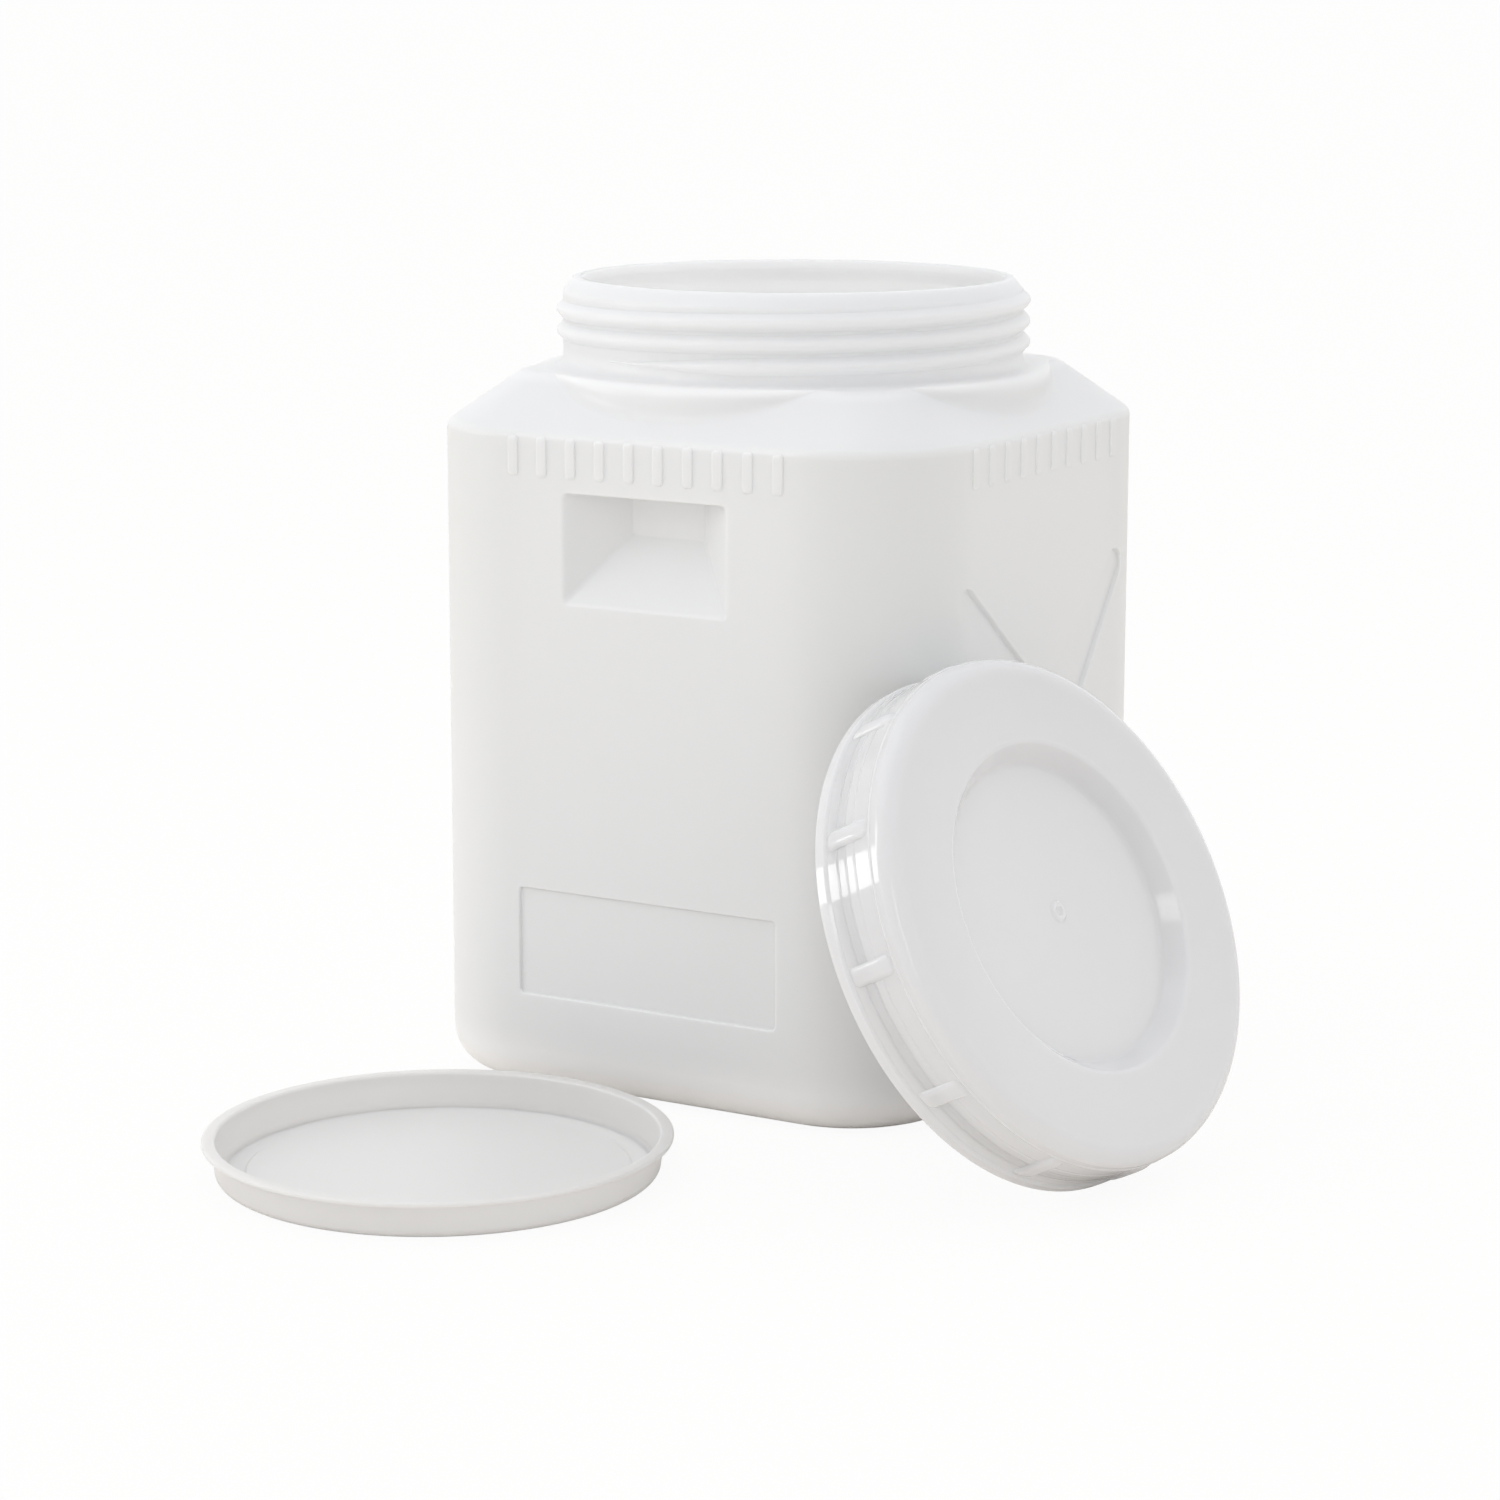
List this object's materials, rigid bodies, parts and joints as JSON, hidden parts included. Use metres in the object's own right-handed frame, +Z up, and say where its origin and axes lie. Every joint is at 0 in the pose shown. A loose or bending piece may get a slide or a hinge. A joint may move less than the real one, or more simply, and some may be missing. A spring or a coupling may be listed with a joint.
{
  "type": "fermentation container",
  "caption": "White translucent square fermentation container with a wide threaded neck, sunk hand grips, a dished inner lid and a big ribbed screw cap standing beside it.",
  "frame": {"origin": "on the jar's upright axis, at the pushed-up middle of its base, 2 mm above the floor that the standing rim rests on", "axes": "+Z up along the jar's axis to the mouth; -Y the side with the label panel, in front of which the inner lid lies; +X the side that the screw cap leans on"},
  "size_m": [0.3687, 0.46, 0.345],
  "materials": {
    "jar_plastic": "translucent natural, satin",
    "inner_lid_plastic": "translucent natural, satin",
    "cap_plastic": "white, glossy"
  },
  "bodies": {
    "jar": {"jar_body": "jar_plastic"},
    "inner_lid": {"inner_lid": "inner_lid_plastic"},
    "screw_cap": {"screw_cap": "cap_plastic"}
  },
  "joints": [
    {"name": "inner_lid_lift", "type": "slide", "parent": "jar", "child": "inner_lid", "axis": [0, 0, 1], "range_m": [0, 0.4]},
    {"name": "cap_lift", "type": "slide", "parent": "jar", "child": "screw_cap", "axis": [0, 0, 1], "range_m": [0, 0.4]}
  ]
}
